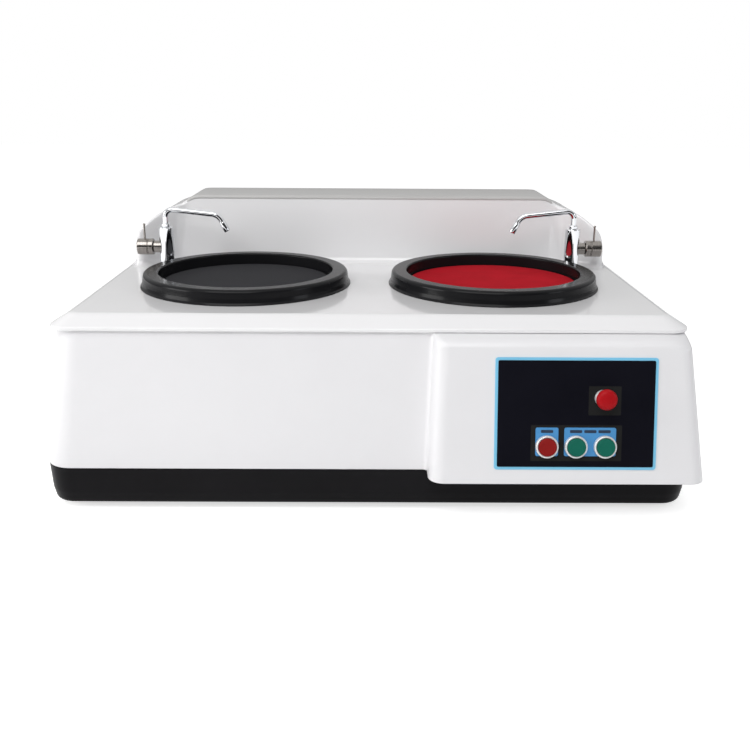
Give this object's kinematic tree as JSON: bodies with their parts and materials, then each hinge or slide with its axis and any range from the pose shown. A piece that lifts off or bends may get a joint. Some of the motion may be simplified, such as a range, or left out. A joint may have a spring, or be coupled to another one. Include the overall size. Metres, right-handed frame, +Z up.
{
  "type": "lapping machine",
  "caption": "Bench-top twin-disc lapping and polishing machine with splash rings, swivelling water taps, raised back ledge and a sloping push-button panel.",
  "frame": {"origin": "on the bench plane under the middle of the machine's overall width and depth", "axes": "+X to the operator's right along the width, +Y from the operator towards the back, +Z up"},
  "size_m": [0.7, 0.5022, 0.3027],
  "materials": {
    "tray_black": "satin",
    "rubber_black": "matte",
    "shell_white": "gloss",
    "strip_grey": "satin",
    "panel_white": "satin",
    "steel_bright": "polished",
    "ring_black": "gloss",
    "basin_grey": "satin",
    "aluminium_turned": "turned",
    "abrasive_grey": "matte",
    "cloth_red": "matte",
    "iron_grey": "painted",
    "motor_paint": "satin",
    "plastic_black": "matte",
    "steel_plate": "zinc plated",
    "chrome_bright": "polished",
    "knob_steel": "turned",
    "brass_plain": "machined",
    "hose_pale": "satin",
    "plastic_grey": "satin",
    "border_blue": "gloss",
    "sheet_black": "satin",
    "legend_blue": "satin",
    "cap_red": "gloss",
    "cap_green": "gloss",
    "cap_scarlet": "gloss",
    "plastic_cream": "matte"
  },
  "bodies": {
    "machine": {"base_tray": "tray_black", "rubber_feet": "rubber_black", "lower_body": "shell_white", "top_cover": "shell_white", "ledge_strip": "strip_grey", "rear_panel": "panel_white", "panel_screws": "steel_bright", "left_basin": "basin_grey", "right_basin": "basin_grey", "basin_seals": "rubber_black", "left_bearing_housing": "iron_grey", "right_bearing_housing": "iron_grey", "spindle_bearings": "steel_bright", "left_belt": "rubber_black", "right_belt": "rubber_black", "motor_body": "motor_paint", "motor_bearings": "steel_bright", "motor_fan_cowl": "motor_paint", "drive_plate": "steel_plate", "plate_posts": "steel_plate", "frame_bolts": "steel_plate", "left_tap_body": "chrome_bright", "right_tap_body": "chrome_bright", "tap_nuts": "brass_plain", "water_inlet": "brass_plain", "water_hoses": "hose_pale", "drain_hoses": "plastic_grey", "drain_outlets": "plastic_grey", "power_gland": "plastic_black", "panel_border": "border_blue", "panel_sheet": "sheet_black", "legend_plates": "legend_blue", "button_bezels": "chrome_bright", "switch_blocks": "plastic_grey", "electrics_board": "steel_plate", "contactors": "plastic_cream", "wire_harness": "plastic_black"},
    "left_disc": {"left_platen": "aluminium_turned", "abrasive_disc": "abrasive_grey", "left_spindle": "steel_bright", "left_spindle_pulley": "aluminium_turned"},
    "right_disc": {"right_platen": "aluminium_turned", "polishing_cloth": "cloth_red", "right_spindle": "steel_bright", "right_spindle_pulley": "aluminium_turned"},
    "motor_rotor": {"motor_shaft": "steel_bright", "motor_pulley": "aluminium_turned", "motor_fan": "plastic_black"},
    "left_ring": {"left_splash_ring": "ring_black"},
    "right_ring": {"right_splash_ring": "ring_black"},
    "left_spout": {"left_tap_spout": "chrome_bright"},
    "right_spout": {"right_tap_spout": "chrome_bright"},
    "left_knob": {"left_tap_knob": "knob_steel", "left_tap_lever": "knob_steel"},
    "right_knob": {"right_tap_knob": "knob_steel", "right_tap_lever": "knob_steel"},
    "stop_key": {"stop_button": "cap_red"},
    "low_key": {"low_speed_button": "cap_green"},
    "high_key": {"high_speed_button": "cap_green"},
    "emergency_key": {"emergency_stop_button": "cap_scarlet"}
  },
  "joints": [
    {"name": "left_disc_spin", "type": "hinge", "parent": "machine", "child": "left_disc", "pos_m": [-0.1493, -0.02044, 0.2], "axis": [0, 0, 1], "continuous": true},
    {"name": "right_disc_spin", "type": "hinge", "parent": "machine", "child": "right_disc", "pos_m": [0.1493, -0.02044, 0.2], "axis": [0, 0, 1], "continuous": true},
    {"name": "motor_spin", "type": "hinge", "parent": "machine", "child": "motor_rotor", "pos_m": [0, 0.12256, 0.1], "axis": [0, 0, 1], "continuous": true},
    {"name": "left_spout_swivel", "type": "hinge", "parent": "machine", "child": "left_spout", "pos_m": [-0.262, 0.06056, 0.2685], "axis": [0, 0, 1], "range_deg": [-120, 30]},
    {"name": "right_spout_swivel", "type": "hinge", "parent": "machine", "child": "right_spout", "pos_m": [0.262, 0.06056, 0.2685], "axis": [0, 0, 1], "range_deg": [-30, 120]},
    {"name": "left_tap_turn", "type": "hinge", "parent": "machine", "child": "left_knob", "pos_m": [-0.262, 0.06056, 0.2428], "axis": [1, 0, 0], "range_deg": [0, 90]},
    {"name": "right_tap_turn", "type": "hinge", "parent": "machine", "child": "right_knob", "pos_m": [0.262, 0.06056, 0.2428], "axis": [1, 0, 0], "range_deg": [0, 90]},
    {"name": "stop_press", "type": "slide", "parent": "machine", "child": "stop_key", "axis": [0, 0.9748, -0.2232], "range_m": [0, 0.003], "stiffness_N_per_m": 500, "springref_m": -0.002},
    {"name": "low_speed_press", "type": "slide", "parent": "machine", "child": "low_key", "axis": [0, 0.9748, -0.2232], "range_m": [0, 0.003], "stiffness_N_per_m": 500, "springref_m": -0.002},
    {"name": "high_speed_press", "type": "slide", "parent": "machine", "child": "high_key", "axis": [0, 0.9748, -0.2232], "range_m": [0, 0.003], "stiffness_N_per_m": 500, "springref_m": -0.002},
    {"name": "emergency_press", "type": "slide", "parent": "machine", "child": "emergency_key", "axis": [0, 0.9748, -0.2232], "range_m": [0, 0.005]},
    {"name": "left_ring_lift", "type": "slide", "parent": "machine", "child": "left_ring", "axis": [0, 0, 1], "range_m": [0, 0.025]},
    {"name": "right_ring_lift", "type": "slide", "parent": "machine", "child": "right_ring", "axis": [0, 0, 1], "range_m": [0, 0.025]}
  ],
  "couplings": [
    {"joint": "right_disc_spin", "follows": "left_disc_spin", "ratio": 1.3333},
    {"joint": "motor_spin", "follows": "left_disc_spin", "ratio": 3.1111}
  ]
}
